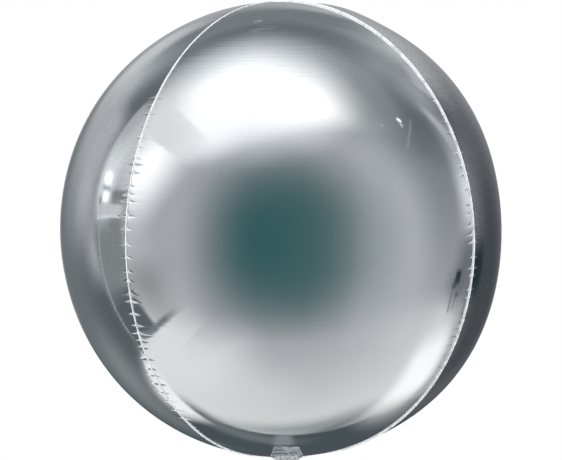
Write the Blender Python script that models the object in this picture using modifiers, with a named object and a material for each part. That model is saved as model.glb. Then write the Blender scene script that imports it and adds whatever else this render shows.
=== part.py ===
"""A round foil balloon, filled and floating: four film panels sealed edge to edge, with a flat filling tail below.

Metres, +Z up. The origin is the centre of the round envelope, where the gas lifts. One panel faces -Y.
The film is a few hundredths of a millimetre thick on the real balloon, and is drawn here as a thicker wall.
"""

import math

import bmesh
import bpy
from mathutils import Vector

# Envelope
EQUATOR_RADIUS = 0.190
POLE_RADIUS = 0.1955
FLATNESS = 0.08  # each panel's arc is struck from this share of the radius beyond the axis, so it is flatter
PANEL_WALL = 0.0012
PANELS = ("front", "right", "back", "left")  # in turn, anticlockwise from above
PANEL_TURN = math.tau / len(PANELS)
HALF_PANEL = PANEL_TURN / 2
PANEL_ACROSS = 12
PANEL_ALONG = 36

# Touching solids keep this much air between them
TOUCH_GAP = 0.0003

# Sealed seam bands, which stand out along the low ridges where panels meet
BAND_WIDTH = 0.0022
BAND_THICKNESS = 0.0012
BAND_FADE = 0.030  # within this distance of the axis a band grows lower towards the pole
BAND_LEAST = 0.40  # share of its width that is left at the pole
PUCKERS = 56  # small waves along one seam
PUCKER_SWAY = 0.0005

# Top seal, where the four seams cross
TOP_SEAL_RADIUS = 0.005
TOP_SEAL_RISE = 0.0014
TOP_SEAL_STEPS = 32

# Neck, where the film is drawn together below
NECK_RADIUS = 0.0115
NECK_DRAW = 0.0085  # how far the film is drawn down at the neck
NECK_SPREAD = 0.017
NECK_LENGTH = 0.013
NECK_LEAN = 0.0009  # how far the film's edge leans in over its wall at the neck
NECK_PLEATS = 12
PLEAT_DEPTH = 0.09  # share of the neck's radius
POINTS_PER_PLEAT = 4

# Filling tail
TAIL_WIDTH = 0.030
TAIL_LENGTH = 0.060
TAIL_CORNER = 0.004
TAIL_PLY = 0.0008
VALVE_PLY = 0.0005
TAIL_SEAL_WIDTH = 0.003
VALVE_SETBACK = 0.003  # how far the valve's end lies inside the mouth
CORNER_STEPS = 6

# Finishes: base colour, metallic value and roughness
FINISHES = {
    "panel_film": ((0.80, 0.81, 0.82), 1.0, 0.08),
    "seam_film": ((0.86, 0.87, 0.88), 1.0, 0.22),
    "tail_film": ((0.78, 0.79, 0.80), 1.0, 0.14),
    "valve_film": ((0.82, 0.84, 0.84), 0.0, 0.30),
}


def clear_scene():
    for obj in list(bpy.data.objects):
        bpy.data.objects.remove(obj, do_unlink=True)


def new_collection(name):
    collection = bpy.data.collections.new(name)
    bpy.context.scene.collection.children.link(collection)
    return collection


def finish_material(name, finish):
    colour, metallic, roughness = FINISHES[finish]
    material = bpy.data.materials.new(name)
    material.use_nodes = True
    shader = material.node_tree.nodes["Principled BSDF"]
    shader.inputs["Base Color"].default_value = (*colour, 1.0)
    shader.inputs["Metallic"].default_value = metallic
    shader.inputs["Roughness"].default_value = roughness
    material.diffuse_color = (*colour, 1.0)
    return material


def place_object(collection, name, data, finish):
    obj = bpy.data.objects.new(name, data)
    data.materials.append(finish_material(name, finish))
    collection.objects.link(obj)
    return obj


def solidify(obj, thickness, offset):
    wall = obj.modifiers.new("wall", "SOLIDIFY")
    wall.thickness = thickness
    wall.offset = offset
    return wall


def mapped_grid(name, across, along, place):
    """A flat grid from -1 to 1 each way, with each corner moved to place(x, y)."""
    bm = bmesh.new()
    bmesh.ops.create_grid(bm, x_segments=across, y_segments=along, size=1.0)
    for vert in bm.verts:
        vert.co = place(vert.co.x, vert.co.y)
    mesh = bpy.data.meshes.new(name)
    bm.to_mesh(mesh)
    bm.free()
    mesh.shade_smooth()
    return mesh


def panel_reach(side):
    """A panel's distance from the axis, as a share of its own middle's, at an angle from its middle line."""
    arc = 1.0 + FLATNESS
    return math.sqrt(arc**2 - (FLATNESS * math.sin(side)) ** 2) - FLATNESS * math.cos(side)


def profile(polar, reach):
    """Distance from the axis and height of the film, at an angle down from the top."""
    out = EQUATOR_RADIUS * reach * math.sin(polar)
    height = POLE_RADIUS * math.cos(polar)
    if height < 0:
        height -= NECK_DRAW * math.exp(-((out / NECK_SPREAD) ** 2))
    return out, height


SEAM_REACH = panel_reach(HALF_PANEL)
TOP_POLAR = math.asin((TOP_SEAL_RADIUS + TOUCH_GAP) / (EQUATOR_RADIUS * SEAM_REACH))
NECK_POLAR = math.pi - math.asin((NECK_RADIUS + TOUCH_GAP) / (EQUATOR_RADIUS * SEAM_REACH))


def polar_at(along):
    """Angle down from the top, for a place along a panel from -1 at the neck to 1 at the top."""
    share = (1.0 - along) / 2
    return TOP_POLAR + (NECK_POLAR - TOP_POLAR) * share


def panel_point(across, along):
    polar = polar_at(along)
    seam_out = profile(polar, SEAM_REACH)[0]
    room = math.asin((BAND_THICKNESS / 2 + TOUCH_GAP) / seam_out)
    side = across * (HALF_PANEL - room)
    out, height = profile(polar, panel_reach(side))
    return Vector((out * math.sin(side), -out * math.cos(side), height))


def make_panels(collection):
    for index, where in enumerate(PANELS):
        name = f"panel_{where}"
        mesh = mapped_grid(name, PANEL_ACROSS, PANEL_ALONG, panel_point)
        panel = place_object(collection, name, mesh, "panel_film")
        panel.rotation_euler.z = index * PANEL_TURN
        solidify(panel, PANEL_WALL, -1.0)


def band_width(out):
    share = min(out / BAND_FADE, 1.0)
    return BAND_WIDTH * (BAND_LEAST + (1.0 - BAND_LEAST) * share)


def seam_point(outward, along):
    """A place on a seam band in the XZ plane, from -1 at the film's inner face to 1 at the band's free edge."""
    polar = polar_at(along)
    out, height = profile(polar, SEAM_REACH)
    step = 0.001
    next_out, next_height = profile(polar + step, SEAM_REACH)
    normal = Vector((height - next_height, 0.0, next_out - out)).normalized()
    lift = -PANEL_WALL + (band_width(out) + PANEL_WALL) * (outward + 1) / 2
    station = round((along + 1) / 2 * PUCKERS * 2)
    sway = PUCKER_SWAY if station % 2 else -PUCKER_SWAY
    free = max(outward, 0.0)
    return Vector((out, sway * free * math.sin(polar), height)) + normal * lift


def make_seam_bands(collection):
    for index, where in enumerate(PANELS):
        name = f"seam_{where}_{PANELS[(index + 1) % len(PANELS)]}"
        mesh = mapped_grid(name, 2, PUCKERS * 2, seam_point)
        band = place_object(collection, name, mesh, "seam_film")
        band.rotation_euler.z = (index + 0.5) * PANEL_TURN - math.pi / 2
        solidify(band, BAND_THICKNESS, 0.0)


def make_top_seal(collection):
    """The small crossing of the four seams: a turned button with a low nub."""
    rim_height = profile(TOP_POLAR, SEAM_REACH)[1]
    outline = (
        (0.0, rim_height + TOP_SEAL_RISE),
        (TOP_SEAL_RADIUS * 0.35, rim_height + TOP_SEAL_RISE * 0.85),
        (TOP_SEAL_RADIUS * 0.60, rim_height + TOP_SEAL_RISE * 0.30),
        (TOP_SEAL_RADIUS, rim_height),
        (TOP_SEAL_RADIUS, rim_height - PANEL_WALL),
        (0.0, rim_height - PANEL_WALL),
    )
    bm = bmesh.new()
    corners = [bm.verts.new((out, 0.0, height)) for out, height in outline]
    for first, second in zip(corners, corners[1:]):
        bm.edges.new((first, second))
    mesh = bpy.data.meshes.new("top_seal")
    bm.to_mesh(mesh)
    bm.free()
    seal = place_object(collection, "top_seal", mesh, "seam_film")
    turn = seal.modifiers.new("turn", "SCREW")
    turn.steps = turn.render_steps = TOP_SEAL_STEPS
    turn.use_merge_vertices = True
    turn.merge_threshold = 0.0001
    turn.use_smooth_shade = True


def tail_half_depth():
    """From the middle of the tail to its outer face."""
    return TOUCH_GAP / 2 + VALVE_PLY + TOUCH_GAP + TAIL_PLY


def neck_top_height():
    return profile(NECK_POLAR, SEAM_REACH)[1]


def neck_ring(height, half_width, half_depth, pleat):
    count = NECK_PLEATS * POINTS_PER_PLEAT
    ring = []
    for index in range(count):
        turn = math.tau * index / count
        swell = 1.0 - pleat * (1 - math.cos(NECK_PLEATS * turn)) / 2
        ring.append(Vector((half_width * swell * math.cos(turn), half_depth * swell * math.sin(turn), height)))
    return ring


def make_neck_gather(collection):
    """The gathered film of the neck: a loft from a round, pleated top to the flat end of the tail."""
    top = neck_top_height()
    bottom = top - NECK_LENGTH
    flat = tail_half_depth()
    half_tail = TAIL_WIDTH / 2
    # Each row: share of the way down, half width, half depth, pleat depth
    sections = (
        (-0.09, NECK_RADIUS - NECK_LEAN, NECK_RADIUS - NECK_LEAN, 0.0),
        (0.05, NECK_RADIUS, NECK_RADIUS, PLEAT_DEPTH),
        (0.30, NECK_RADIUS * 0.86, NECK_RADIUS * 0.72, PLEAT_DEPTH * 1.6),
        (0.55, NECK_RADIUS * 0.90, NECK_RADIUS * 0.46, PLEAT_DEPTH * 1.6),
        (0.80, half_tail * 0.88, flat * 1.5, PLEAT_DEPTH),
        (1.00, half_tail, flat, 0.0),
    )
    rings = [
        neck_ring(top + (bottom - top) * share, width, depth, pleat)
        for share, width, depth, pleat in sections
    ]
    bm = bmesh.new()
    rows = [[bm.verts.new(point) for point in ring] for ring in rings]
    for upper, lower in zip(rows, rows[1:]):
        count = len(upper)
        for index in range(count):
            after = (index + 1) % count
            bm.faces.new((upper[index], lower[index], lower[after], upper[after]))
    bm.faces.new(rows[0])
    bm.faces.new(reversed(rows[-1]))
    bmesh.ops.recalc_face_normals(bm, faces=bm.faces)
    mesh = bpy.data.meshes.new("neck_gather")
    bm.to_mesh(mesh)
    bm.free()
    mesh.shade_smooth()
    place_object(collection, "neck_gather", mesh, "tail_film")


def tail_outline(half_width, length, corner):
    """A strip hanging from the line y = 0, square above and with rounded corners below."""
    points = [(-half_width, 0.0), (half_width, 0.0)]
    for centre_x, start in ((half_width - corner, 0.0), (corner - half_width, -math.pi / 2)):
        for step in range(CORNER_STEPS + 1):
            turn = start - math.pi / 2 * step / CORNER_STEPS
            points.append((centre_x + corner * math.cos(turn), corner - length + corner * math.sin(turn)))
    return points


def hang_strip(collection, name, outline, thickness, depth, top, finish):
    """A flat strip of film in the XZ plane, its middle at y = depth and its upper edge at z = top."""
    curve = bpy.data.curves.new(name, "CURVE")
    curve.dimensions = "2D"
    curve.fill_mode = "BOTH"
    curve.extrude = thickness / 2
    spline = curve.splines.new("POLY")
    spline.points.add(len(outline) - 1)
    for point, (x, y) in zip(spline.points, outline):
        point.co = (x, y, 0.0, 1.0)
    spline.use_cyclic_u = True
    strip = place_object(collection, name, curve, finish)
    strip.rotation_euler.x = math.pi / 2
    strip.location = (0.0, depth, top)


def make_tail(collection):
    top = neck_top_height() - NECK_LENGTH - TOUCH_GAP
    ply_depth = tail_half_depth() - TAIL_PLY / 2
    valve_depth = (TOUCH_GAP + VALVE_PLY) / 2
    valve_half = TAIL_WIDTH / 2 - TAIL_SEAL_WIDTH - TOUCH_GAP
    for side, sign in (("front", -1), ("back", 1)):
        ply = tail_outline(TAIL_WIDTH / 2, TAIL_LENGTH, TAIL_CORNER)
        hang_strip(collection, f"tail_{side}", ply, TAIL_PLY, sign * ply_depth, top, "tail_film")
        valve = tail_outline(valve_half, TAIL_LENGTH - VALVE_SETBACK, TAIL_CORNER)
        hang_strip(collection, f"valve_{side}", valve, VALVE_PLY, sign * valve_depth, top, "valve_film")
    seal_thickness = TOUCH_GAP + 2 * VALVE_PLY
    seal_middle = (TAIL_WIDTH - TAIL_SEAL_WIDTH) / 2
    seal_length = TAIL_LENGTH - TAIL_CORNER
    half_seal = TAIL_SEAL_WIDTH / 2
    for side, sign in (("left", -1), ("right", 1)):
        band = [(-half_seal, 0.0), (half_seal, 0.0), (half_seal, -seal_length), (-half_seal, -seal_length)]
        placed = [(x + sign * seal_middle, y) for x, y in band]
        hang_strip(collection, f"tail_seal_{side}", placed, seal_thickness, 0.0, top, "seam_film")


def main():
    clear_scene()
    balloon = new_collection("round_foil_balloon")
    make_panels(balloon)
    make_seam_bands(balloon)
    make_top_seal(balloon)
    make_neck_gather(balloon)
    make_tail(balloon)


main()
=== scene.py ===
"""The looks of a round foil balloon: film panels, puckered seams, a gathered neck, a tail and a studio.

It is laid out as a Blender add-on and run as a script. Metres, +Z up; the front panel faces -Y.
"""

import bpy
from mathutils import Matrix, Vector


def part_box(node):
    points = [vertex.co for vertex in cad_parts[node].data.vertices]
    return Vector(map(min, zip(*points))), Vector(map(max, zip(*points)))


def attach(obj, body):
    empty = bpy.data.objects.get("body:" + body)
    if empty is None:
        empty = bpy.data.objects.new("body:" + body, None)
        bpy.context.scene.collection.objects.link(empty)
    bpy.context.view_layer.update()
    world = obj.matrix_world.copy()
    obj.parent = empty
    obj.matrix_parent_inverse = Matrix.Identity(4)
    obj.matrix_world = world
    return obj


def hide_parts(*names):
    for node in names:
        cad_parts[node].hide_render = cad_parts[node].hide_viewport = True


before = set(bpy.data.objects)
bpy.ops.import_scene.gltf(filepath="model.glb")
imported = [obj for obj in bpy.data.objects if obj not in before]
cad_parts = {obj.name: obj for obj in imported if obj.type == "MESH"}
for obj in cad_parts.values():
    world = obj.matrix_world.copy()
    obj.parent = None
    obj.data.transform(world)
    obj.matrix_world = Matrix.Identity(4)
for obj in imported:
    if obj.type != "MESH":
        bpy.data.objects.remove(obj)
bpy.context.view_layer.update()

import math

import bpy
import numpy as np
from bpy.props import FloatProperty, FloatVectorProperty, IntProperty, PointerProperty
from bpy.types import Operator, Panel, PropertyGroup
from mathutils import Matrix, Vector

bl_info = {
    "name": "Round Foil Balloon",
    "version": (1, 0, 0),
    "blender": (4, 5, 0),
    "location": "3D View > Sidebar > Balloon",
    "description": "Builds the film, seams, neck, tail and studio of a round foil balloon in its CAD frame",
    "category": "Add Mesh",
}

BODY = "root"
MM = 0.001

# Main sizes, read from the frame
EQUATOR_RADIUS = -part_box("panel_front")[0].y
TAIL_LOW, TAIL_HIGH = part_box("tail_front")
VALVE_LOW, VALVE_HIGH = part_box("valve_front")
SEAL_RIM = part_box("tail_seal_right")[0].x
TOP_SEAL_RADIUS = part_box("top_seal")[1].x

# The panels' form, the same as the solids'
POLE_RADIUS = 195.5 * MM
FLATNESS = 0.08  # each panel's arc is struck from this share of the radius beyond the axis
NECK_DRAW = 8.5 * MM
NECK_SPREAD = 17.0 * MM
PANELS = ("front", "right", "back", "left")
PANEL_TURN = math.tau / len(PANELS)
HALF_PANEL = PANEL_TURN / 2
TIP_RADIUS = 4.0 * MM  # where the panels' tips end, under the top crossing
NECK_RADIUS = 11.8 * MM

# Mesh fineness, as columns and rows
COLUMNS = 52
CROWDING = 0.07  # share of even spacing left in the columns, which crowd beside the seams
ROW_OFFSETS = np.array([-1.8, -1.0, -0.6, -0.32, -0.12, 0.0, 0.12, 0.32, 0.6, 1.0, 1.8]) * MM
FIN_COLUMNS = 5
CROSSING_GRID = 72
NECK_GRID = (288, 48)
PLY_GRID = (56, 240)
HEAT_SEAL_GRID = (8, 224)
SLEEVE_GRID = (36, 110)

# Each pucker is drawn at random between a least and a greatest value
PUCKER_GAPS = (0.6, 1.4)  # shares of the mean gap
PUCKER_DEPTHS = (0.40, 1.0)  # shares of the seam's deepest
PUCKER_REACHES = (4.5, 10.0)  # millimetres away from the seam
PUCKER_WIDTHS = (0.95, 1.8)  # half widths in millimetres
PUCKER_TILTS = (0.10, 0.45)
SLANT_REACH = 5.0 * MM  # a pucker slants down within about this distance of its seam
BEAD_HEIGHT, BEAD_REACH = 0.22 * MM, 0.40 * MM  # the film turns up into its seam
SEAM_ROOT = 1.5 * MM  # how far a seam's sheet goes into the envelope
RIB_PITCH = 1.0 * MM  # of the ribs pressed into the tail's heat seals
HEAT_SEAL_THICKNESS, SLEEVE_THICKNESS = 0.6 * MM, 0.10 * MM
TAIL_CORNER = 4.0 * MM
ROW_MARGIN = 0.1 * MM  # between the first and last pucker's rows and the seam's ends

# How far each seam stands out at the top, the middle and the bottom, as shares of the seal's width
SEAL_SPREAD = ((0.70, 0.46, 0.52), (0.60, 0.50, 0.50), (0.55, 0.55, 0.45), (0.20, 0.42, 0.36))

# The deepest pucker of each seam, as a share of the full depth
PUCKER_SHARES = (0.65, 0.9, 0.9, 1.0)

# Strength of each panel's speckle, front, right, back and left
PANEL_GRAIN = (0.05, 0.50, 0.12, 0.24)

# How each panel swells beyond its smooth form: each bump's angle down from the top, spread and height
PANEL_SWELLS = (
    (),
    ((14, 9, 8.0 * MM), (45, 26, 2.4 * MM), (90, 24, -3.3 * MM), (139, 26, 5.2 * MM), (157, 10, 1.6 * MM)),
    ((45, 26, 0.6 * MM), (135, 26, 0.6 * MM)),
    ((52, 24, 1.3 * MM), (95, 30, 0.5 * MM), (140, 26, 1.0 * MM)),
)


def length(name, description, default, least=0.0):
    return FloatProperty(name=name, description=description, default=default, min=least, unit="LENGTH")


def tint(name, description, *default):
    return FloatVectorProperty(
        name=name, description=description, default=default, min=0.0, max=1.0, size=3, subtype="COLOR"
    )


def fraction(name, description, default):
    return FloatProperty(
        name=name, description=description, default=default, min=0.0, max=1.0, subtype="FACTOR"
    )


class BalloonSizes(PropertyGroup):
    """Sizes of the film, its seals and its creases."""

    film_thickness: length("Film Thickness", "Drawn thickness of the film", 0.2 * MM, 0.02 * MM)
    seal_width: length("Seal Width", "How far a sealed seam stands out", 2.2 * MM, 0.5 * MM)
    seal_thickness: length("Seal Thickness", "Thickness of a sealed seam", 0.45 * MM, 0.1 * MM)
    puckers: IntProperty(name="Puckers", description="Puckers along each seam", default=66, min=8, max=120)
    pucker_depth: length("Pucker Depth", "Depth of the deepest pucker", 1.0 * MM)
    pillow_height: length("Pillow Height", "How far the film swells between puckers", 0.11 * MM)
    fold_depth: length("Fold Depth", "Depth of the folds gathered at the neck", 1.0 * MM)
    tail_bulge: length("Tail Bulge", "How far each tail ply swells", 1.1 * MM)


class BalloonFinish(PropertyGroup):
    """Colours and surface values of the film."""

    film_colour: tint("Film", "Colour of the metallised film", 0.89, 0.90, 0.91)
    film_shade: tint("Film Shade", "Slightly duller film in its clouded places", 0.85, 0.865, 0.875)
    # The seal shade is laid on the seals in random dashes.
    seal_shade: tint("Seal Shade", "Colour of the heat-sealed film where it is worn", 0.60, 0.62, 0.63)
    seal_colour: tint("Seal", "Colour of the heat-sealed film", 0.95, 0.96, 0.965)
    valve_colour: tint("Valve", "Colour of the milky valve film", 0.82, 0.84, 0.84)
    film_roughness: fraction("Film Roughness", "Roughness of clean film", 0.055)
    seal_roughness: fraction("Seal Roughness", "Roughness of sealed film", 0.32)


class BalloonStudio(PropertyGroup):
    """The plain studio round the balloon."""

    backdrop: tint("Backdrop", "Colour that the camera sees round the balloon", 1.0, 1.0, 1.0)
    soft_light: FloatProperty(
        name="Soft Light", description="Strength of the plain light on matt surfaces", default=1.7, min=0.0
    )
    ambient: tint("Ambient", "Light from where no card stands", 0.41, 0.42, 0.44)
    floor_colour: tint("Floor", "Colour of the floor", 0.50, 0.505, 0.51)
    floor_drop: length("Floor Drop", "Depth of the floor below the balloon's centre", 2.9, 0.5)


# The tones of the studio cards, as red, green and blue light
TONES = {
    "black": (0.02, 0.04, 0.05),
    "deep teal": (0.02, 0.09, 0.10),
    "teal": (0.055, 0.13, 0.13),
    "dark": (0.07, 0.09, 0.10),
    "shadow": (0.07, 0.08, 0.09),
    "dusk": (0.11, 0.13, 0.14),
    "slate": (0.16, 0.18, 0.19),
    "stone": (0.20, 0.225, 0.235),
    "dim": (0.24, 0.26, 0.265),
    "grey": (0.31, 0.34, 0.35),
    "mid": (0.46, 0.48, 0.50),
    "soft": (0.62, 0.64, 0.65),
    "light": (0.79, 0.81, 0.82),
    "pale": (0.82, 0.86, 0.89),
    "floor": (0.98, 0.99, 0.98),
    "bright": (1.08, 1.09, 1.08),
    "white": (1.25, 1.27, 1.29),
    "lamp": (1.9, 1.9, 1.9),
    "glare": (6.0, 6.0, 6.0),
}

# The studio cards round the balloon, the first one painted first. Each has a bearing from -Y towards +X, an
# elevation and a roll in degrees. Then come half its width, half its height, the softness of its side edges
# and that of its other two edges, all as tangents of angles. Its tone is last.
CARDS = (
    ("front_screen", -10, 0, 0, 0.55, 0.70, 1.0, 1.3, "deep teal"),
    ("right_screen", 55, 0, -5, 0.40, 1.10, 0.35, 1.0, "mid"),
    ("left_screen", -95, -30, 15, 0.40, 1.50, 0.90, 3.0, "soft"),
    ("top_screen", 0, 90, 15, 1.15, 0.65, 1.0, 0.50, "white"),
    ("top_right", 90, 75, -35, 0.30, 1.00, 0.50, 1.7, "grey"),
    ("top_back", 155, 50, 0, 1.90, 0.45, 0.70, 0.30, "grey"),
    ("floor", 155, -75, -15, 1.70, 0.10, 1.3, 3.0, "floor"),
    ("floor_shade_wide", 168, -70, 5, 0.26, 0.07, 0.46, 0.26, "grey"),
    ("floor_shade", 150, -62, 5, 0.20, 0.07, 0.40, 0.28, "dusk"),
    ("floor_back", 180, -38, -4, 0.40, 0.49, 0.26, 0.04, "dark"),
    ("floor_back_fade", -160, -59, -4, 0.30, 0.07, 0.30, 0.12, "slate"),
    ("left_back", -148, -10, 3, 0.45, 0.60, 0.40, 0.12, "slate"),
    ("left_back_soft", -137, 12, -6, 0.33, 0.20, 0.60, 0.55, "mid"),
    ("left_back_pale", -155, 30, 0, 0.25, 0.05, 0.35, 1.0, "white"),
    ("left_side", -135, 50, 40, 0.25, 1.30, 1.9, 1.3, "black"),
    ("left_far_mid", -131, 8, 0, 0.14, 0.15, 0.22, 0.30, "mid"),
    ("left_far_light", -134, 20, 12, 0.17, 0.14, 0.22, 0.15, "mid"),
    ("back_left_pale", -165, 20, 0, 0.13, 0.10, 0.20, 0.24, "soft"),
    ("left_back_low", -142, -31, 0, 0.26, 0.12, 0.36, 0.22, "dim"),
    ("left_dusk", -120, -27, 6, 0.22, 0.24, 0.40, 0.25, "dusk"),
    ("left_back_floor", -130, -48.8, 18, 0.22, 0.13, 0.20, 0.03, "floor"),
    ("right_back", 135, -15, -35, 0.60, 0.50, 0.90, 0.80, "shadow"),
    ("right_edge_dark", 80, 30, -5, 0.25, 0.60, 0.45, 2.8, "slate"),
    ("right_strip", 97, 9, -10, 0.10, 0.17, 0.20, 0.36, "pale"),
    ("right_strip_high", 106, 31, -14, 0.11, 0.20, 0.26, 0.34, "pale"),
    ("right_low_grey", 93, -15, -14, 0.13, 0.18, 0.22, 0.20, "slate"),
    ("white_stripe", 110, -46, -28, 0.25, 0.14, 0.30, 0.16, "bright"),
    ("right_low_edge", 106, -25, -48, 0.15, 0.06, 0.10, 0.08, "slate"),
    ("stripe_edge", 119, -37, -24, 0.26, 0.030, 0.12, 0.05, "mid"),
    ("left_near_wall", -109.5, 25, 2, 0.195, 0.27, 0.03, 0.18, "mid"),
    ("left_near_light", -106, 28, -8, 0.14, 0.20, 0.16, 0.22, "soft"),
    ("left_patch", -80, 27, -22, 0.20, 0.30, 0.44, 0.54, "white"),
    ("left_upper", -81, 44, -6, 0.29, 0.125, 0.44, 0.02, "light"),
    ("left_grey", -75, -25, 0, 0.18, 0.24, 0.34, 0.34, "dim"),
    ("dark_screen", 5, -3, 0, 0.45, 0.65, 1.9, 1.0, "teal"),
    ("softbox_glow", -45, 75, 35, 0.35, 0.60, 0.90, 0.90, "pale"),
    ("softbox", -17, 75, -10, 0.50, 0.13, 0.70, 1.0, "lamp"),
    ("softbox_core", -17, 75, -9, 0.28, 0.07, 0.20, 0.12, "glare"),
    ("left_floor", -80, -40, -5, 0.05, 0.20, 1.2, 0.80, "floor"),
    ("left_low", -98, -28, 6, 0.25, 0.22, 0.05, 0.12, "dusk"),
    ("low_band_left", -82, -36.5, 15, 0.24, 0.020, 0.26, 0.03, "slate"),
    ("floor_near_left", -80, -43, 15, 0.25, 0.09, 0.60, 0.012, "light"),
    ("left_floor_soft", -72, -56, 0, 0.40, 0.15, 0.80, 0.50, "light"),
    ("left_near_low", -107, -6, 10, 0.19, 0.23, 0.10, 0.20, "dim"),
    ("side_light_glow", -114, 14, 5, 0.10, 0.16, 0.12, 0.30, "pale"),
    ("side_light_shade", -103, 11.5, 10, 0.085, 0.035, 0.06, 0.04, "dim"),
    ("side_light_gap", -113, 11.7, 5, 0.060, 0.014, 0.07, 0.02, "mid"),
    ("side_light_upper", -114, 14.6, 5, 0.040, 0.026, 0.07, 0.05, "lamp"),
    ("side_light_lower", -112.3, 9.3, 5, 0.030, 0.022, 0.05, 0.035, "lamp"),
    ("side_light_shadow", -116, 7.2, 12, 0.010, 0.030, 0.012, 0.03, "slate"),
    ("side_card", -108, 5.8, 10, 0.155, 0.034, 0.02, 0.015, "soft"),
    ("side_card_edge", -108, 3.9, 10, 0.150, 0.006, 0.02, 0.008, "pale"),
    ("side_thin_strip", -114.3, -12, 0, 0.006, 0.38, 0.012, 0.1, "mid"),
    ("dark_spot", 89, -17.5, 4, 0.030, 0.040, 0.025, 0.03, "black"),
    ("dark_spot_low", 88, -20, -30, 0.022, 0.022, 0.02, 0.02, "dark"),
    ("dark_streak", 89, -25, 24, 0.008, 0.075, 0.012, 0.05, "slate"),
    ("dark_streak_near", 92, -24.5, 22, 0.005, 0.06, 0.010, 0.05, "slate"),
    ("small_dark_spot", 92, -23, 10, 0.012, 0.014, 0.012, 0.012, "dark"),
    ("upper_right", 115, 28, -30, 0.50, 0.20, 1.5, 0.55, "shadow"),
    ("upper_right_beyond", 121, 37, 0, 0.10, 0.08, 0.05, 0.08, "mid"),
    ("upper_right_crease", 114, 43, -3, 0.010, 0.20, 0.014, 0.10, "grey"),
    ("upper_right_line", 100, 27, -2, 0.035, 0.19, 0.05, 0.16, "mid"),
    ("high_fleck", 77.6, 42.3, 20, 0.008, 0.016, 0.008, 0.010, "lamp"),
    ("high_fleck_low", 76.2, 40.4, -30, 0.005, 0.014, 0.006, 0.008, "bright"),
    ("high_fleck_left", 63.6, 44.2, 0, 0.004, 0.007, 0.004, 0.005, "light"),
    ("high_streak", 76.5, 36, 30, 0.13, 0.006, 0.08, 0.014, "grey"),
    ("back_top", 150, 34, -10, 0.30, 0.16, 0.35, 0.40, "soft"),
    ("back_high", 178, 41, 0, 0.42, 0.17, 0.40, 0.18, "stone"),
    ("right_low_dark", 117, -13, 5, 0.09, 0.10, 0.12, 0.12, "black"),
    ("top_fleck", 180, 48.7, 0, 0.014, 0.005, 0.010, 0.006, "light"),
    ("top_streak", 180, 57.6, 4, 0.055, 0.004, 0.04, 0.006, "soft"),
    ("thin_low_card", 174.5, -57, 0, 0.033, 0.11, 0.035, 0.05, "dim"),
)

GRAZING = 0.001  # a card is lit on its front side only, down to this share of facing
FLOOR_SIZE = 12.0
FLOOR_FADE = (2.0, 5.8)  # the floor fades out between these distances from its middle

# The camera, as the photograph's framing gives it
CAMERA_DISTANCE = 1.4485
CAMERA_YAW, CAMERA_PITCH, CAMERA_ROLL = 0.1111, 0.0953, -0.0208
CAMERA_LENS = 107.24
CAMERA_SHIFT = (-0.0022, -0.0010)


def smooth_share(value, start, end):
    share = np.clip((value - start) / (end - start), 0.0, 1.0)
    return share * share * (3.0 - 2.0 * share)


# The envelope's form


def panel_reach(side):
    """A panel's distance from the axis, as a share of its own middle's, at an angle from its middle line."""
    arc = 1.0 + FLATNESS
    return np.sqrt(arc**2 - (FLATNESS * np.sin(side)) ** 2) - FLATNESS * np.cos(side)


def profile(polar, reach):
    """Distance from the axis and height of the film, at an angle down from the top."""
    out = EQUATOR_RADIUS * reach * np.sin(polar)
    height = POLE_RADIUS * np.cos(polar)
    drawn = np.where(height < 0, NECK_DRAW * np.exp(-((out / NECK_SPREAD) ** 2)), 0.0)
    return out, height - drawn


def film_point(polar, side):
    out, height = profile(polar, panel_reach(side))
    return np.stack([out * np.sin(side), -out * np.cos(side), height], -1)


def film_normal(polar, side):
    step = 1e-4
    along = film_point(polar + step, side) - film_point(polar - step, side)
    across = film_point(polar, side + step) - film_point(polar, side - step)
    normal = np.cross(along, across)
    return normal / np.linalg.norm(normal, axis=-1, keepdims=True)


SEAM_REACH = float(panel_reach(HALF_PANEL))
TOP_POLAR = math.asin(TIP_RADIUS / (EQUATOR_RADIUS * SEAM_REACH))
NECK_POLAR = math.pi - math.asin(NECK_RADIUS / (EQUATOR_RADIUS * SEAM_REACH))
SEAM_POLARS = np.linspace(TOP_POLAR, NECK_POLAR, 2000)
SEAM_STEPS = np.hypot(*np.diff(np.array(profile(SEAM_POLARS, SEAM_REACH)), axis=1))
SEAM_RUNS = np.concatenate([[0.0], np.cumsum(SEAM_STEPS)])
SEAM_LENGTH = float(SEAM_RUNS[-1])


def polar_at(run):
    """Angle down from the top, at a distance along a seam."""
    return np.interp(run, SEAM_RUNS, SEAM_POLARS)


def pucker_strength(polar):
    """Puckers are strong round the middle and fade towards both ends."""
    wake = smooth_share(polar, math.radians(48), math.radians(76))
    fade = 1.0 - smooth_share(polar, math.radians(117), math.radians(142))
    return (0.12 + 0.88 * wake) * (0.22 + 0.78 * fade)


def drift(away):
    """How far down a pucker has slanted for each unit of tilt, at a distance from its seam."""
    return SLANT_REACH * (1.0 - np.exp(-away / SLANT_REACH))


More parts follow.
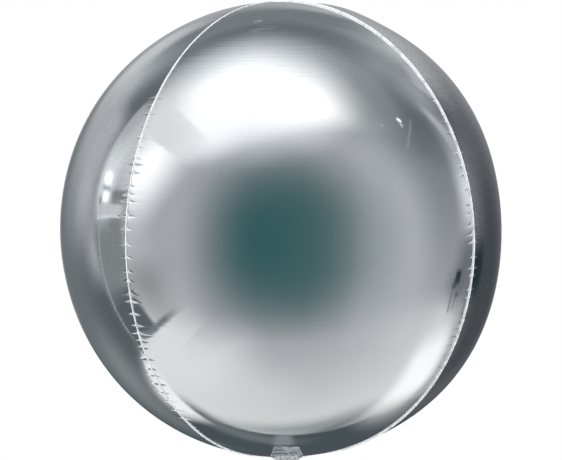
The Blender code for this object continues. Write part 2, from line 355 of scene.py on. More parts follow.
class SeamPuckers:
    """Where one seam's puckers lie, and how deep, long, wide and tilted each one is."""

    def __init__(self, index, sizes):
        draw = np.random.default_rng(index + 11)
        count = sizes.puckers
        gaps = draw.uniform(*PUCKER_GAPS, count + 1)
        self.runs = np.cumsum(gaps)[:-1] / gaps.sum() * SEAM_LENGTH
        deepest = sizes.pucker_depth * PUCKER_SHARES[index]
        self.depths = deepest * draw.uniform(*PUCKER_DEPTHS, count) * pucker_strength(polar_at(self.runs))
        self.reaches = draw.uniform(*PUCKER_REACHES, count) * MM
        self.widths = draw.uniform(*PUCKER_WIDTHS, count) * MM
        self.tilts = draw.uniform(*PUCKER_TILTS, count)
        self.sways = draw.uniform(-1.0, 1.0, count)
        middles = (self.runs[1:] + self.runs[:-1]) / 2
        rows = np.clip((self.runs[:, None] + ROW_OFFSETS).ravel(), ROW_MARGIN, SEAM_LENGTH - ROW_MARGIN)
        self.rows = np.sort(np.concatenate([[0.0], rows, middles, [SEAM_LENGTH]]))

    def tilt_at(self, run):
        return np.interp(run, self.runs, self.tilts)

    def lift(self, run, away, pillow_height):
        """How far the film stands off its smooth form, at a distance along the seam and one away from it."""
        total = np.zeros_like(run)
        slant = drift(away)
        shapes = zip(self.runs, self.depths, self.reaches, self.widths, self.tilts)
        for where, depth, reach, width, tilt in shapes:
            left = np.clip(1.0 - away / reach, 0.0, 1.0)
            half = width * (0.40 + 0.60 * left)
            flank = np.clip(1.0 - np.abs(run - where - tilt * slant) / half, 0.0, 1.0)
            total -= depth * left**1.3 * flank**1.6
        source = run - self.tilt_at(run) * slant
        place = np.clip(np.searchsorted(self.runs, source), 1, len(self.runs) - 1)
        start, end = self.runs[place - 1], self.runs[place]
        share = np.clip((source - start) / (end - start), 0.0, 1.0)
        pillow = 4.0 * share * (1.0 - share) * pucker_strength(polar_at(run))
        return total + pillow_height * pillow * np.exp(-away / (5.0 * MM))


def gather_folds(turn):
    """The uneven folds round the neck, from -1 in a valley to 1 on a ridge."""
    wide = 2.0 * np.abs(np.sin(7.0 * (turn + 0.15 * np.sin(2.0 * turn + 1.0)))) - 1.0
    narrow = 2.0 * np.abs(np.sin(13.0 * (turn + 0.07 * np.sin(3.0 * turn + 2.0)) + 0.7)) - 1.0
    return 0.65 * wide + 0.35 * narrow


def tip_folds(turn):
    """The faint folds round the top crossing."""
    return 2.0 * np.abs(np.sin(10.0 * (turn + 0.10 * np.sin(3.0 * turn)))) - 1.0


def end_folds(sizes, out, height, turn):
    """Folds that gather the film at the neck, and faintly at the top."""
    low = np.exp(-np.maximum(out - NECK_RADIUS, 0.0) / (9.0 * MM)) * (height < 0)
    high = 0.22 * np.exp(-np.maximum(out - TOP_SEAL_RADIUS, 0.0) / (6.0 * MM)) * (height > 0)
    return sizes.fold_depth * (low * gather_folds(turn) + high * tip_folds(turn))


# Mesh helpers


def deselect_all():
    if bpy.context.mode != "OBJECT":
        bpy.ops.object.mode_set(mode="OBJECT")
    bpy.ops.object.select_all(action="DESELECT")


def moulded(name, points):
    """A grid whose corners stand at points[row, column]."""
    deselect_all()
    rows, columns = points.shape[0] - 1, points.shape[1] - 1
    bpy.ops.mesh.primitive_grid_add(x_subdivisions=columns, y_subdivisions=rows, size=2.0)
    grid = bpy.context.active_object
    grid.name = grid.data.name = name
    flat = np.empty(len(grid.data.vertices) * 3, np.float32)
    grid.data.vertices.foreach_get("co", flat)
    flat = flat.reshape(-1, 3)
    column = np.rint((flat[:, 0] + 1) / 2 * columns).astype(int)
    row = np.rint((flat[:, 1] + 1) / 2 * rows).astype(int)
    grid.data.vertices.foreach_set("co", points[row, column].astype(np.float32).ravel())
    grid.data.update()
    return grid


def give_wall(piece, thickness, offset):
    deselect_all()
    piece.select_set(True)
    bpy.context.view_layer.objects.active = piece
    wall = piece.modifiers.new("wall", "SOLIDIFY")
    wall.thickness = thickness
    wall.offset = offset
    bpy.ops.object.modifier_apply(modifier=wall.name)


def close_round(piece, distance):
    """Joins the first and last column of a sheet that goes all the way round."""
    deselect_all()
    piece.select_set(True)
    bpy.context.view_layer.objects.active = piece
    bpy.ops.object.mode_set(mode="EDIT")
    bpy.ops.mesh.select_all(action="SELECT")
    bpy.ops.mesh.remove_doubles(threshold=distance)
    bpy.ops.object.mode_set(mode="OBJECT")


def turned(points, angle):
    cos, sin = math.cos(angle), math.sin(angle)
    x, y, z = points[..., 0], points[..., 1], points[..., 2]
    return np.stack([cos * x - sin * y, sin * x + cos * y, z], -1)


def surface_normals(points, closed=False):
    """Normals of a moulded grid[row, column], from its neighbours."""
    if closed:
        wrapped = np.concatenate([points[:, -2:-1], points, points[:, 1:2]], 1)
        across = wrapped[:, 2:] - wrapped[:, :-2]
    else:
        across = np.gradient(points, axis=1)
    along = np.gradient(points, axis=0)
    normal = np.cross(across, along)
    return normal / np.maximum(np.linalg.norm(normal, axis=-1, keepdims=True), 1e-12)


def finish_piece(piece, material, nodes):
    piece.data.materials.clear()
    piece.data.materials.append(material)
    deselect_all()
    piece.select_set(True)
    bpy.context.view_layer.objects.active = piece
    bpy.ops.object.shade_smooth()
    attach(piece, BODY)
    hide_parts(*nodes)


# Shader helpers


class Wire:
    """An output socket that takes part in sums, so that shader maths reads as arithmetic."""

    def __init__(self, bench, socket):
        self.bench = bench
        self.socket = socket

    def _math(self, operation, first, second):
        return self.bench.add("ShaderNodeMath", {"operation": operation}, {0: first, 1: second})

    def __add__(self, other):
        return self._math("ADD", self, other)

    def __radd__(self, other):
        return self._math("ADD", other, self)

    def __sub__(self, other):
        return self._math("SUBTRACT", self, other)

    def __rsub__(self, other):
        return self._math("SUBTRACT", other, self)

    def __mul__(self, other):
        return self._math("MULTIPLY", self, other)

    def __rmul__(self, other):
        return self._math("MULTIPLY", other, self)

    def __truediv__(self, other):
        return self._math("DIVIDE", self, other)

    def __rtruediv__(self, other):
        return self._math("DIVIDE", other, self)

    def __abs__(self):
        return self._math("ABSOLUTE", self, 0.0)


class Bench:
    """The nodes of one material or world."""

    def __init__(self, owner):
        owner.use_nodes = True
        self.tree = owner.node_tree
        self.tree.nodes.clear()

    def add(self, kind, settings=None, sockets=None, out=0):
        """Adds a node, plugs values or wires into its sockets and gives one of its outputs."""
        node = self.tree.nodes.new(kind)
        for setting, value in (settings or {}).items():
            setattr(node, setting, value)
        for key, value in (sockets or {}).items():
            socket = node.inputs[key] if isinstance(key, int) else self.find(node.inputs, key)
            if isinstance(value, Wire):
                self.tree.links.new(value.socket, socket)
            else:
                socket.default_value = value
        chosen = node.outputs[out] if isinstance(out, int) else self.find(node.outputs, out)
        return Wire(self, chosen)

    @staticmethod
    def find(sockets, key):
        for socket in sockets:
            if socket.identifier == key or (socket.name == key and socket.enabled):
                return socket
        raise KeyError(f"no socket named {key}")

    def noise(self, vector, scale, detail=2.0, roughness=0.5):
        sockets = {"Vector": vector, "Scale": scale, "Detail": detail, "Roughness": roughness}
        return self.add("ShaderNodeTexNoise", None, sockets, "Fac")

    def stretched(self, vector, scale):
        return self.add("ShaderNodeMapping", None, {"Vector": vector, "Scale": scale}, "Vector")

    def ramp(self, value, low, high, start=0.0, end=1.0):
        return self.add(
            "ShaderNodeMapRange",
            {"interpolation_type": "SMOOTHSTEP"},
            {"Value": value, "From Min": low, "From Max": high, "To Min": start, "To Max": end},
            "Result",
        )

    def blend(self, share, first, second):
        """A colour between two colours."""
        return self.add(
            "ShaderNodeMix",
            {"data_type": "RGBA"},
            {"Factor_Float": share, "A_Color": rgba(first), "B_Color": rgba(second)},
            "Result_Color",
        )

    def dot(self, vector, axis):
        return self.add("ShaderNodeVectorMath", {"operation": "DOT_PRODUCT"}, {0: vector, 1: axis}, "Value")

    def bump(self, height, distance):
        return self.add("ShaderNodeBump", None, {"Height": height, "Distance": distance}, "Normal")

    def principled(self, sockets):
        return self.add("ShaderNodeBsdfPrincipled", None, sockets, "BSDF")

    def finish(self, kind, surface):
        """Adds the output node and plugs the surface into it."""
        node = self.tree.nodes.new(kind)
        self.tree.links.new(surface.socket, node.inputs["Surface"])


def rgba(colour):
    return colour if isinstance(colour, Wire) else (*colour, 1.0)


def new_material(name):
    """A material, the bench for its nodes and the place on the object."""
    material = bpy.data.materials.new(name)
    bench = Bench(material)
    return material, bench, bench.add("ShaderNodeTexCoord", out="Object")


def film_material(name, finish, grain, creasing=0.0):
    """Metallised film: a mirror with faint rolling lines, clouded places, scuffs and a speckle, the grain."""
    material, bench, place = new_material(name)
    lines = bench.ramp(bench.noise(bench.stretched(place, (9.0, 9.0, 420.0)), 1.0, 3.0, 0.65), 0.36, 0.66)
    cloud = bench.noise(place, 13.0, 3.0)
    speckle = bench.ramp(bench.noise(place, 860.0, 1.0, 0.6), 0.40, 0.60)
    dulled = speckle * (bench.ramp(bench.dot(place, (0.35, 0.0, 1.0)), 0.12, 0.22) * 0.22 + grain)
    scuff = bench.ramp(bench.noise(bench.stretched(place, (60.0, 60.0, 150.0)), 1.0, 5.0, 0.7), 0.66, 0.74)
    colour = bench.blend(bench.ramp(cloud, 0.35, 0.70) * 0.6, finish.film_colour, finish.film_shade)
    colour = bench.blend(dulled, colour, [value * 0.45 for value in finish.film_shade])
    rough = (lines - 0.5) * 0.03 + scuff * 0.05 + dulled * 0.06 + finish.film_roughness
    upper = bench.ramp(bench.dot(place, (0.0, 0.0, 1.0)), 0.105, 0.155)
    height = lines * (upper * 0.45 + 0.07) + scuff * 0.10
    normal = bench.bump(height, 0.045 * MM)
    if creasing:
        crumple = bench.noise(bench.stretched(place, (260.0, 260.0, 110.0)), 1.0, 3.0, 0.55)
        normal = bench.bump(crumple, creasing)
    metallic = 0.92 if creasing else 1.0
    sockets = {"Base Color": colour, "Metallic": metallic, "Roughness": rough, "Normal": normal}
    bench.finish("ShaderNodeOutputMaterial", bench.principled(sockets))
    return material


def seal_material(name, finish):
    """Heat-sealed film: satin and finely crinkled across the seam."""
    material, bench, place = new_material(name)
    crinkle = bench.noise(place, 900.0, 2.0, 0.6)
    # The seal's colour turns darker, towards the seal shade, in random dashes.
    darker = bench.noise(place, 170.0, 2.0)
    colour = bench.blend(bench.ramp(darker, 0.50, 0.72) * 0.8, finish.seal_colour, finish.seal_shade)
    rough = crinkle * 0.16 + finish.seal_roughness - 0.08
    normal = bench.bump(crinkle, 0.3 * MM)
    sockets = {"Base Color": colour, "Metallic": 0.15, "Roughness": rough, "Normal": normal}
    bench.finish("ShaderNodeOutputMaterial", bench.principled(sockets))
    return material


def valve_material(name, finish):
    """Thin milky plastic film with a soft gloss."""
    material, bench, place = new_material(name)
    haze = bench.noise(bench.stretched(place, (120.0, 120.0, 50.0)), 1.0, 3.0)
    colour = bench.blend(haze, finish.valve_colour, finish.seal_colour)
    sockets = {
        "Base Color": colour,
        "Roughness": haze * 0.2 + 0.2,
        "Transmission Weight": 0.35,
        "IOR": 1.5,
        "Normal": bench.bump(haze, 0.15 * MM),
    }
    bench.finish("ShaderNodeOutputMaterial", bench.principled(sockets))
    return material


# Operators


class BALLOON_OT_film_panels(Operator):
    """Build the four film panels with the puckers along their seams and the folds at the neck"""

    bl_idname = "balloon.film_panels"
    bl_label = "Film Panels"

    def execute(self, context):
        sizes, finish = context.scene.balloon_sizes, context.scene.balloon_finish
        seams = [SeamPuckers(index, sizes) for index in range(len(PANELS))]
        for index, where in enumerate(PANELS):
            left, right = seams[index - 1], seams[index]
            points = panel_points(sizes, left, right, index * PANEL_TURN, PANEL_SWELLS[index])
            panel = moulded(f"film_panel_{where}", points[::-1])
            give_wall(panel, sizes.film_thickness, -1.0)
            material = film_material(f"film_{where}", finish, PANEL_GRAIN[index])
            finish_piece(panel, material, [f"panel_{where}"])
        return {"FINISHED"}


def panel_points(sizes, left, right, turn, swells):
    """The panel's outer face as points[row, column], from the top down."""
    even_rows = np.linspace(0.0, SEAM_LENGTH, len(left.rows))
    across = np.linspace(-1.0, 1.0, COLUMNS + 1)
    inward = 1.0 - np.abs(across)
    ring = profile(polar_at(even_rows), SEAM_REACH)[0]
    crowd = smooth_share(ring, 10.0 * MM, 90.0 * MM)[:, None]
    crowded = CROWDING * inward + (1.0 - CROWDING) * inward**3
    share = crowd * crowded + (1.0 - crowd) * inward
    away = ring[:, None] * share * HALF_PANEL
    follow = 1.0 - smooth_share(away, 9.0 * MM, 48.0 * MM)
    on_left = across[None, :] < 0
    seam_rows = np.where(on_left, left.rows[:, None], right.rows[:, None])
    tilts = np.where(on_left, left.tilt_at(left.rows)[:, None], right.tilt_at(right.rows)[:, None])
    fade_ends = smooth_share(np.minimum(even_rows, SEAM_LENGTH - even_rows), 0.0, 20.0 * MM)
    slanted = seam_rows + tilts * drift(away) * fade_ends[:, None]
    runs = even_rows[:, None] + follow * (slanted - even_rows[:, None])
    polar = polar_at(runs)
    side = np.sign(across)[None, :] * (HALF_PANEL - share * HALF_PANEL)
    base = film_point(polar, side)
    normal = film_normal(polar, side)
    lift = np.zeros_like(runs)
    columns_left = across < 0
    for seam, chosen in ((left, columns_left), (right, ~columns_left)):
        lift[:, chosen] = seam.lift(runs[:, chosen], away[:, chosen], sizes.pillow_height)
    lift += BEAD_HEIGHT * np.exp(-away / BEAD_REACH)
    for middle, spread, height in swells:
        bump = np.exp(-(((np.degrees(polar) - middle) / spread) ** 2))
        lift += height * bump * np.sin(polar) * np.cos(2.0 * side) ** 2
    out = np.hypot(base[..., 0], base[..., 1])
    lift += end_folds(sizes, out, base[..., 2], side + turn)
    return turned(base + normal * lift[..., None], turn)


class BALLOON_OT_seam_fins(Operator):
    """Build the four heat-sealed seams, which stand out between the panels"""

    bl_idname = "balloon.seam_fins"
    bl_label = "Seam Fins"

    def execute(self, context):
        sizes, finish = context.scene.balloon_sizes, context.scene.balloon_finish
        for index, where in enumerate(PANELS):
            beside = PANELS[(index + 1) % len(PANELS)]
            points = fin_points(sizes, SeamPuckers(index, sizes), index + 31, SEAL_SPREAD[index])
            points = turned(points, (index + 0.5) * PANEL_TURN - math.pi / 2)
            fin = moulded(f"seam_fin_{where}_{beside}", points[::-1])
            give_wall(fin, sizes.seal_thickness, 0.0)
            material = seal_material(f"seal_{where}_{beside}", finish)
            finish_piece(fin, material, [f"seam_{where}_{beside}"])
        return {"FINISHED"}


def fin_points(sizes, puckers, seed, spread):
    """A seam's middle sheet in the XZ plane as points[row, column], from inside the film to the free edge."""
    draw = np.random.default_rng(seed)
    polar = polar_at(puckers.rows)
    out, height = profile(polar, SEAM_REACH)
    step = 1e-3
    next_out, next_height = profile(polar + step, SEAM_REACH)
    normal = np.stack([height - next_height, next_out - out], -1)
    normal /= np.linalg.norm(normal, axis=-1, keepdims=True)
    strength = pucker_strength(polar)
    pinch = np.zeros_like(polar)
    for where, depth in zip(puckers.runs, puckers.depths):
        pinch += depth / sizes.pucker_depth * np.exp(-np.abs(puckers.rows - where) / (0.6 * MM))
    knots = np.arange(0.0, SEAM_LENGTH + 2.0 * MM, 2.0 * MM)
    ragged = np.interp(puckers.rows, knots, draw.uniform(-1.0, 1.0, len(knots)))
    slow = np.interp(puckers.rows, puckers.runs, puckers.sways)
    share_down = puckers.rows / SEAM_LENGTH
    width = sizes.seal_width * np.interp(share_down, (0.05, 0.5, 0.9), spread)
    rough = 0.15 + 0.85 * strength
    width += (0.14 * rough * ragged + 0.20 * pinch) * MM
    sway = (0.30 * slow * strength + 0.12 * rough * ragged) * MM
    share = np.linspace(0.0, 1.0, FIN_COLUMNS + 1)
    lift = -SEAM_ROOT + (width[:, None] + SEAM_ROOT) * share[None, :]
    free = np.maximum(lift, 0.0) / sizes.seal_width
    x = out[:, None] + normal[:, 0:1] * lift
    z = height[:, None] + normal[:, 1:2] * lift
    return np.stack([x, sway[:, None] * free, z], -1)


class BALLOON_OT_top_crossing(Operator):
    """Build the small crumpled crossing of the four seams at the top"""

    bl_idname = "balloon.top_crossing"
    bl_label = "Top Crossing"

    def execute(self, context):
        sizes, finish = context.scene.balloon_sizes, context.scene.balloon_finish
        even = np.linspace(-1.0, 1.0, CROSSING_GRID + 1)
        x, y = np.meshgrid(even, even)
        radius = TOP_SEAL_RADIUS * 1.25
        disc_x = x * np.sqrt(1.0 - y * y / 2) * radius
        disc_y = y * np.sqrt(1.0 - x * x / 2) * radius
        out = np.hypot(disc_x, disc_y)
        turn = np.arctan2(disc_y, disc_x)
        polar = np.arcsin(np.clip(out / EQUATOR_RADIUS, 0.0, 1.0))
        height = POLE_RADIUS * np.cos(polar) + 0.25 * MM
        ribs = sum(
            np.exp(-(((disc_x * math.sin(a) - disc_y * math.cos(a)) / (0.75 * MM)) ** 2))
            for a in (math.pi / 4, 3 * math.pi / 4)
        )
        height += 0.95 * MM * np.minimum(ribs, 1.15)
        height += 0.7 * MM * np.exp(-((out / (1.6 * MM)) ** 2))
        crumple = np.sin(5 * turn + 900.0 * out) * np.sin(1500.0 * disc_x + 1.0)
        crumple += 0.6 * np.sin(2100.0 * disc_y + 2.0)
        height += 0.16 * MM * crumple * smooth_share(out, 0.3 * MM, 2.5 * MM)
        height -= 0.5 * MM * smooth_share(out, radius * 0.82, radius)
        crossing = moulded("top_crossing", np.stack([disc_x, disc_y, height], -1))
        give_wall(crossing, sizes.film_thickness * 2, -1.0)
        finish_piece(crossing, seal_material("seal_top", finish), ["top_seal"])
        return {"FINISHED"}


class BALLOON_OT_neck_pleats(Operator):
    """Build the gathered neck, from the panels' ends down to the flat tail"""

    bl_idname = "balloon.neck_pleats"
    bl_label = "Neck Pleats"

    def execute(self, context):
        sizes, finish = context.scene.balloon_sizes, context.scene.balloon_finish
        neck = moulded("neck_pleats", neck_points(sizes, *NECK_GRID)[::-1])
        close_round(neck, 0.01 * MM)
        give_wall(neck, sizes.film_thickness, -1.0)
        finish_piece(neck, film_material("film_neck", finish, 0.12, 0.20 * MM), ["neck_gather"])
        return {"FINISHED"}


def neck_points(sizes, columns, rows):
    """The neck as points[row, column], from the film's edge down to the tail's top."""
    turn = np.linspace(-math.pi, math.pi, columns + 1)
    start_polar = math.pi - math.asin((NECK_RADIUS + 2.2 * MM) / (EQUATOR_RADIUS * SEAM_REACH))
    rim_polar = NECK_POLAR
    rim_out, rim_height = (float(v) for v in profile(rim_polar, SEAM_REACH))
    start_out, start_height = (float(v) for v in profile(start_polar, SEAM_REACH))
    # From the top down: half width, half depth, height, share of the folds' depth. The last lies in the tail.
    keys = np.array(
        [
            (start_out, start_out, start_height - 0.10 * MM, 0.75),
            (rim_out, rim_out, rim_height - 0.20 * MM, 0.95),
            (rim_out - 1.3 * MM, rim_out - 1.4 * MM, rim_height - 1.2 * MM, 1.0),
            (rim_out - 1.9 * MM, rim_out - 3.0 * MM, rim_height - 3.4 * MM, 1.0),
            (rim_out - 1.6 * MM, rim_out - 5.6 * MM, rim_height - 6.2 * MM, 0.9),
            (rim_out + 0.4 * MM, 3.6 * MM, rim_height - 9.2 * MM, 0.6),
            (TAIL_HIGH.x - 0.6 * MM, 2.3 * MM, rim_height - 11.6 * MM, 0.42),
            (TAIL_HIGH.x - 0.1 * MM, 1.9 * MM, TAIL_HIGH.z - 1.4 * MM, 0.34),
            (TAIL_HIGH.x - 0.6 * MM, 0.3 * MM, TAIL_HIGH.z - 6.5 * MM, 0.20),
        ]
    )
    steps = np.linspace(0.0, 1.0, len(keys))
    share = np.linspace(0.0, 1.0, rows + 1)
    wide, deep, height, fold = (smooth_through(steps, keys[:, k], share) for k in range(4))
    points = np.stack(
        [
            wide[:, None] * np.sin(turn)[None, :],
            -deep[:, None] * np.cos(turn)[None, :],
            np.repeat(height[:, None], columns + 1, 1),
        ],
        -1,
    )
    normal = surface_normals(points[::-1], closed=True)[::-1]
    lift = sizes.fold_depth * fold[:, None] * gather_folds(turn)[None, :]
    lift = lift - 0.25 * sizes.fold_depth * fold[:, None]
    return points + normal * lift[..., None]


def smooth_through(steps, values, share):
    """A smooth curve through the values, by cubic pieces with averaged slopes."""
    slopes = np.gradient(values, steps)
    place = np.clip(np.searchsorted(steps, share, side="right") - 1, 0, len(steps) - 2)
    gap = steps[place + 1] - steps[place]
    t = (share - steps[place]) / gap
    low, high = values[place], values[place + 1]
    return (
        low * (1 + 2 * t) * (1 - t) ** 2
        + high * t * t * (3 - 2 * t)
        + gap * slopes[place] * t * (1 - t) ** 2
        - gap * slopes[place + 1] * t * t * (1 - t)
    )


class BALLOON_OT_tail_plies(Operator):
    """Build the two plies of the filling tail"""

    bl_idname = "balloon.tail_plies"
    bl_label = "Tail Plies"

    def execute(self, context):
        sizes, finish = context.scene.balloon_sizes, context.scene.balloon_finish
        for where, sign in (("front", -1.0), ("back", 1.0)):
            ply = moulded(f"tail_ply_{where}", ply_points(sizes, *PLY_GRID, sign)[::-1])
            give_wall(ply, sizes.film_thickness, -1.0)
            material = film_material(f"film_tail_{where}", finish, 0.12, 0.30 * MM)
            finish_piece(ply, material, [f"tail_{where}"])
        return {"FINISHED"}


def strip_half_width(height, half, low):
    """Half the width of a strip with rounded lower corners."""
    rise = np.clip(height - low, 0.0, TAIL_CORNER)
    return half - TAIL_CORNER + np.sqrt(np.maximum(TAIL_CORNER**2 - (TAIL_CORNER - rise) ** 2, 0.0))


def tail_wave(x, height):
    """How far the flat tail waves back and forth, most at its lower end."""
    down = np.clip((TAIL_HIGH.z - height) / (TAIL_HIGH.z - TAIL_LOW.z), 0.0, 1.0)
    across = x / MM
    level = height / MM
    roll = 0.60 * np.sin(0.19 * level + 0.15 * across + 1.4 * np.sin(0.11 * level - 0.05 * across))
    roll += 0.22 * np.sin(0.47 * across - 0.22 * level + 1.8 * np.sin(0.17 * level + 0.09 * across))
    return MM * (1.7 * down**2 * np.sin(0.16 * across + 0.5) + roll * smooth_share(down, 0.05, 0.35))


def ply_points(sizes, columns, rows, sign):
    """One tail ply as points[row, column], from the top down. It is pinched flat along both heat seals."""
    across = np.linspace(-1.0, 1.0, columns + 1) * -sign
    high = TAIL_HIGH.z + 1.5 * MM
    height = np.linspace(high, TAIL_LOW.z, rows + 1)
    half = strip_half_width(height, TAIL_HIGH.x, TAIL_LOW.z)
    x = half[:, None] * across[None, :]
    down = (high - height) / (high - TAIL_LOW.z)
    inside = np.clip(1.0 - np.abs(x) / SEAL_RIM, 0.0, 1.0)
    swell = np.sqrt(np.clip(1.0 - (x / SEAL_RIM) ** 2, 0.0, 1.0))
    upper = smooth_share(down, 0.0, 0.5)
    depth = sizes.tail_bulge * (1.0 - 0.35 * upper + 0.45 * smooth_share(down, 0.75, 1.0))
    aside, level = x / MM, height[:, None] / MM
    crease = 0.26 * np.sin(aside * 1.1 + 9.0 * down[:, None] + sign) + 0.10 * np.sin(aside * 1.9 + 1.3 * sign)
    crease += 0.12 * np.sin(aside * 2.7 - 14.0 * down[:, None] + sign)
    crease = crease * (1.0 - 0.85 * upper)[:, None]
    ripple = 0.06 * np.sin(level * 0.55 + 0.3 * aside) + 0.04 * np.sin(level * 1.3 - 0.5 * aside)
    middle = depth[:, None] * swell + (crease + ripple * down[:, None]) * MM * np.minimum(inside * 4.0, 1.0)
    rib = 0.05 * MM * np.sin(math.tau * height / RIB_PITCH)[:, None] * (np.abs(x) > SEAL_RIM)
    y = sign * (0.42 * MM + middle + rib) + tail_wave(x, height[:, None])
    return np.stack([x, y, np.repeat(height[:, None], columns + 1, 1)], -1)


class BALLOON_OT_tail_heat_seals(Operator):
    """Build the two heat seals that close the tail's sides"""

    bl_idname = "balloon.tail_heat_seals"
    bl_label = "Tail Heat Seals"

    def execute(self, context):
        finish = context.scene.balloon_finish
        columns, rows = HEAT_SEAL_GRID
        for where, sign in (("left", -1.0), ("right", 1.0)):
            height = np.linspace(TAIL_HIGH.z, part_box(f"tail_seal_{where}")[0].z, rows + 1)
            edge = TAIL_HIGH.x + 0.15 * MM + 0.08 * MM * np.sin(height / MM * 2.1 + sign)
            x = SEAL_RIM + (edge[:, None] - SEAL_RIM) * np.linspace(0.0, 1.0, columns + 1)[None, :]
            ribs = 0.03 * MM * np.sin(math.tau * height / RIB_PITCH)[:, None]
            y = ribs + tail_wave(sign * x, height[:, None])
            points = np.stack([sign * x, y, np.repeat(height[:, None], columns + 1, 1)], -1)
            seal = moulded(f"tail_heat_seal_{where}", points[::-1])
            give_wall(seal, HEAT_SEAL_THICKNESS, 0.0)
            material = seal_material(f"seal_tail_{where}", finish)
            finish_piece(seal, material, [f"tail_seal_{where}"])
        return {"FINISHED"}


class BALLOON_OT_valve_sleeves(Operator):
    """Build the two thin plastic films of the filling valve inside the tail"""

    bl_idname = "balloon.valve_sleeves"
    bl_label = "Valve Sleeves"

    def execute(self, context):
        finish = context.scene.balloon_finish
        columns, rows = SLEEVE_GRID
        for where, sign in (("front", -1.0), ("back", 1.0)):
            height = np.linspace(VALVE_HIGH.z, VALVE_LOW.z, rows + 1)
            half = strip_half_width(height, VALVE_HIGH.x, VALVE_LOW.z)
            x = half[:, None] * np.linspace(-1.0, 1.0, columns + 1)[None, :] * -sign
            down = np.linspace(0.0, 1.0, rows + 1)[:, None]
            swell = np.sqrt(np.clip(1.0 - (x / VALVE_HIGH.x) ** 2, 0.0, 1.0))
            wave = 0.05 * np.sin(height / MM * 0.8)[:, None] + 0.05 * np.sin(x / MM * 0.9 + 4.0 * down)
            y = sign * MM * (0.16 + swell * (0.20 + 0.25 * smooth_share(down, 0.7, 1.0)) + wave * down * 0.8)
            y += tail_wave(x, height[:, None])
            points = np.stack([x, y, np.repeat(height[:, None], columns + 1, 1)], -1)
            sleeve = moulded(f"valve_sleeve_{where}", points[::-1])
            give_wall(sleeve, SLEEVE_THICKNESS, -1.0)
            material = valve_material(f"valve_{where}", finish)
            finish_piece(sleeve, material, [f"valve_{where}"])
        return {"FINISHED"}


class BALLOON_OT_studio(Operator):
    """Set the floor, the soft light all round and the camera"""

    bl_idname = "balloon.studio"
    bl_label = "Studio"

    def execute(self, context):
        studio = context.scene.balloon_studio
        self.lay_floor(studio)
        self.light_world(context.scene, studio)
        self.set_camera(context.scene)
        context.scene.view_settings.view_transform = "Standard"
        return {"FINISHED"}

    def lay_floor(self, studio):
        deselect_all()
        under = (0.0, 0.0, -studio.floor_drop)
        bpy.ops.mesh.primitive_grid_add(x_subdivisions=64, y_subdivisions=64, size=FLOOR_SIZE, location=under)
        floor = bpy.context.active_object
        floor.name = "studio_floor"
        material, bench, place = new_material("studio_floor")
        middle = bench.add("ShaderNodeVectorMath", {"operation": "LENGTH"}, {0: place}, "Value")
        pale = bench.principled({"Base Color": rgba(studio.floor_colour), "Roughness": 0.6})
        clear = bench.add("ShaderNodeBsdfTransparent", None, None, "BSDF")
        edge = bench.ramp(middle, *FLOOR_FADE)
        surface = bench.add("ShaderNodeMixShader", None, {0: edge, 1: pale, 2: clear}, "Shader")
        bench.finish("ShaderNodeOutputMaterial", surface)
        floor.data.materials.append(material)
        floor.visible_glossy = False

    def light_world(self, scene, studio):
        world = bpy.data.worlds.new("plain_studio")
        scene.world = world
        bench = Bench(world)
        toward = bench.add("ShaderNodeTexCoord", out="Generated")
        light = studio.ambient
        for _name, bearing, elevation, roll, half_width, half_height, soft_width, soft_height, tone in CARDS:
            forward, right, up = card_axes(bearing, elevation, roll)
            facing = bench.dot(toward, forward)
            near = bench.add("ShaderNodeMath", {"operation": "MAXIMUM"}, {0: facing, 1: GRAZING})
            across = abs(bench.dot(toward, right)) / near
            along = abs(bench.dot(toward, up)) / near
            mask = (
                bench.ramp(across, half_width - soft_width / 2, half_width + soft_width / 2, 1.0, 0.0)
                * bench.ramp(along, half_height - soft_height / 2, half_height + soft_height / 2, 1.0, 0.0)
                * bench.add("ShaderNodeMath", {"operation": "GREATER_THAN"}, {0: facing, 1: GRAZING})
            )
            light = bench.blend(mask, light, TONES[tone])
        seen = bench.add("ShaderNodeLightPath", None, None, "Is Camera Ray")
        matt = bench.add("ShaderNodeLightPath", None, None, "Is Diffuse Ray")
        white = rgba(studio.backdrop)
        painted = bench.add("ShaderNodeBackground", None, {"Color": light, "Strength": 1.0})
        soft = bench.add("ShaderNodeBackground", None, {"Color": white, "Strength": studio.soft_light})
        plain = bench.add("ShaderNodeBackground", None, {"Color": white, "Strength": 1.0})
        lit = bench.add("ShaderNodeMixShader", None, {0: matt, 1: painted, 2: soft}, "Shader")
        both = bench.add("ShaderNodeMixShader", None, {0: seen, 1: lit, 2: plain}, "Shader")
        bench.finish("ShaderNodeOutputWorld", both)

    def set_camera(self, scene):
        body_to_camera = (
            Matrix.Rotation(CAMERA_ROLL, 3, "Y")
            @ Matrix.Rotation(CAMERA_PITCH, 3, "X")
            @ Matrix.Rotation(CAMERA_YAW, 3, "Z")
        )
        camera_to_body = body_to_camera.transposed()
        right = camera_to_body @ Vector((1.0, 0.0, 0.0))
        up = camera_to_body @ Vector((0.0, 0.0, 1.0))
        back = camera_to_body @ Vector((0.0, -1.0, 0.0))
        data = bpy.data.cameras.new("photo_camera")
        data.lens = CAMERA_LENS
        data.sensor_width = 36.0
        data.shift_x, data.shift_y = CAMERA_SHIFT
        data.clip_start, data.clip_end = 0.05, 100.0
        camera = bpy.data.objects.new("photo_camera", data)
        pose = Matrix((right, up, back)).transposed().to_4x4()
        pose.translation = back * CAMERA_DISTANCE
        camera.matrix_world = pose
        scene.collection.objects.link(camera)
        scene.camera = camera


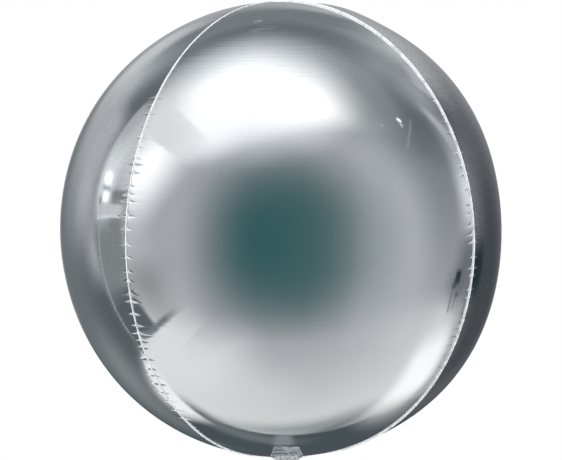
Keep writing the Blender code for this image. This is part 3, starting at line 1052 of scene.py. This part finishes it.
def card_axes(bearing, elevation, roll):
    """A card's forward, right and up directions."""
    a, e, r = (math.radians(angle) for angle in (bearing, elevation, roll))
    forward = np.array([math.sin(a) * math.cos(e), -math.cos(a) * math.cos(e), math.sin(e)])
    level = np.array([math.cos(a), math.sin(a), 0.0])
    upright = np.cross(forward, level)
    right = math.cos(r) * level + math.sin(r) * upright
    up = math.cos(r) * upright - math.sin(r) * level
    return tuple(forward), tuple(right), tuple(up)


OPERATORS = (
    BALLOON_OT_film_panels,
    BALLOON_OT_seam_fins,
    BALLOON_OT_top_crossing,
    BALLOON_OT_neck_pleats,
    BALLOON_OT_tail_plies,
    BALLOON_OT_tail_heat_seals,
    BALLOON_OT_valve_sleeves,
    BALLOON_OT_studio,
)
SETTINGS = (
    ("balloon_sizes", BalloonSizes),
    ("balloon_finish", BalloonFinish),
    ("balloon_studio", BalloonStudio),
)


class BALLOON_PT_builder(Panel):
    """Lists the balloon's pieces and their settings"""

    bl_idname = "BALLOON_PT_builder"
    bl_label = "Round Foil Balloon"
    bl_space_type = "VIEW_3D"
    bl_region_type = "UI"
    bl_category = "Balloon"

    def draw(self, context):
        for operator in OPERATORS:
            self.layout.operator(operator.bl_idname)
        for attribute, group in SETTINGS:
            box = self.layout.box()
            for name in group.__annotations__:
                box.prop(getattr(context.scene, attribute), name)


def register():
    for _attribute, group in SETTINGS:
        bpy.utils.register_class(group)
    for attribute, group in SETTINGS:
        setattr(bpy.types.Scene, attribute, PointerProperty(type=group))
    for operator in OPERATORS:
        bpy.utils.register_class(operator)
    bpy.utils.register_class(BALLOON_PT_builder)


def unregister():
    bpy.utils.unregister_class(BALLOON_PT_builder)
    for operator in reversed(OPERATORS):
        bpy.utils.unregister_class(operator)
    for attribute, group in reversed(SETTINGS):
        delattr(bpy.types.Scene, attribute)
        bpy.utils.unregister_class(group)


def main():
    register()
    for operator in OPERATORS:
        family, name = operator.bl_idname.split(".")
        getattr(getattr(bpy.ops, family), name)()


if __name__ == "__main__":
    main()
